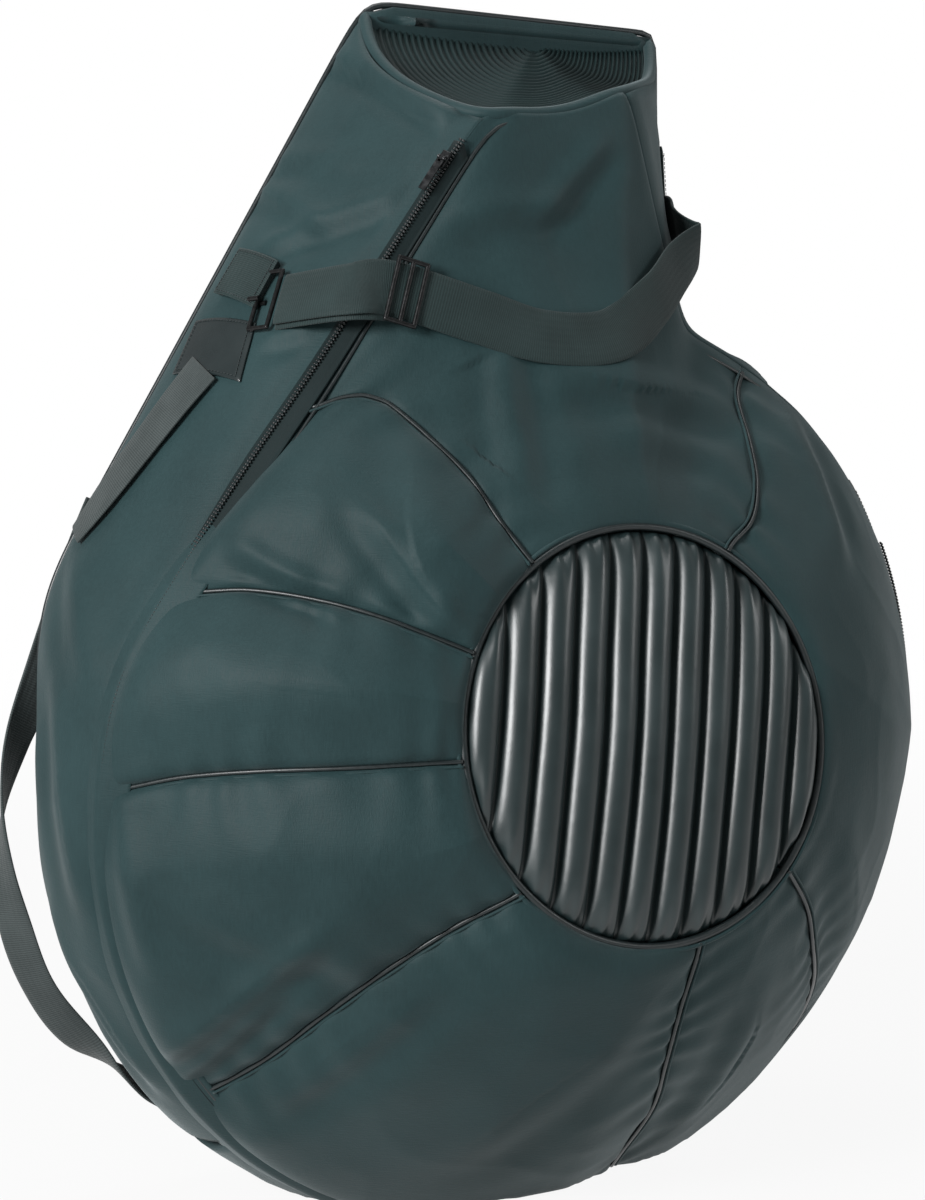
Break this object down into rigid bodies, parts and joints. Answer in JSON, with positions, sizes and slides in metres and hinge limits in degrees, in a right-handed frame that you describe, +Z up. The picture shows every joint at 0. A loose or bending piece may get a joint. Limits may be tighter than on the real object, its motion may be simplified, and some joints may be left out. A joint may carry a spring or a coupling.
{
  "type": "sousaphone gig bag",
  "caption": "Upright padded soft bag with a round body, a leaning neck, a domed zip-open front with a channelled bumper pad, straps and a side handle.",
  "frame": {"origin": "on the floor under the middle of the round body, on the plane of the back panel", "axes": "+Z up, the front looks along -Y, +X is to the right seen from the front"},
  "size_m": [0.9329, 0.4358, 1.1055],
  "materials": {
    "nylon": "woven black nylon with a teal cast",
    "vinyl": "glossy dark vinyl",
    "grey_vinyl": "light grey vinyl",
    "piping": "glossy dark cord piping",
    "webbing": "ribbed nylon webbing",
    "zip_tape": "woven zip tape",
    "zip_coil": "nylon coil",
    "wire": "black coated wire",
    "slider": "black coated zinc"
  },
  "bodies": {
    "bag_shell": {"back_panel": "nylon", "top_cap": "vinyl", "gusset_left": "nylon", "gusset_bottom": "nylon", "gusset_right": "nylon", "rim_piping": "vinyl", "back_piping": "piping", "zip_tape_shell": "zip_tape", "zip_chain_shell": "zip_coil", "strap_hook": "wire", "left_tab": "webbing", "strap_tail": "webbing", "tail_anchor": "webbing", "left_patch": "grey_vinyl", "side_strap_upper": "webbing", "low_anchor": "webbing", "right_patch": "grey_vinyl", "handle_tabs": "webbing"},
    "front_lid": {"bumper_pad": "vinyl", "pad_piping": "piping", "gore_upper_left": "nylon", "gore_left": "nylon", "gore_lower_left": "nylon", "gore_bottom": "nylon", "gore_lower_right": "nylon", "gore_right": "nylon", "neck_front": "nylon", "gore_piping": "piping", "seam_piping": "piping", "zip_tape_lid": "zip_tape", "zip_chain_lid": "zip_coil", "shoulder_strap": "webbing", "strap_return": "webbing", "strap_ring": "wire"},
    "slider": {"zip_slider": "slider"},
    "pull": {"zip_pull": "slider"},
    "adjuster": {"strap_adjuster": "wire"},
    "strap_loop": {"side_strap": "webbing"},
    "handle": {"carry_handle": "webbing"}
  },
  "joints": [
    {"name": "front_opening", "type": "hinge", "parent": "bag_shell", "child": "front_lid", "pos_m": [0.36048, -0.17921, 0.64904], "axis": [-0.5757, -0.0368, 0.8169], "range_deg": [0, 110]},
    {"name": "zip_run", "type": "slide", "parent": "front_lid", "child": "slider", "axis": [-0.5913, 0.0362, -0.8056], "range_m": [0, 0.19]},
    {"name": "pull_flip", "type": "hinge", "parent": "slider", "child": "pull", "pos_m": [-0.10741, -0.19961, 0.97073], "axis": [-0.4658, 0.8001, 0.3779], "range_deg": [0, 120]},
    {"name": "adjuster_slide", "type": "slide", "parent": "front_lid", "child": "adjuster", "axis": [0.9165, -0.2471, -0.3146], "range_m": [0, 0.04]},
    {"name": "side_strap_swing", "type": "hinge", "parent": "bag_shell", "child": "strap_loop", "pos_m": [-0.31, -0.003, 0.09], "axis": [0.0365, -0.0082, -0.9993], "range_deg": [0, 80]},
    {"name": "handle_flip", "type": "hinge", "parent": "bag_shell", "child": "handle", "pos_m": [0.45251, -0.0993, 0.44164], "axis": [0.265, 0.025, -0.9639], "range_deg": [0, 90]}
  ]
}
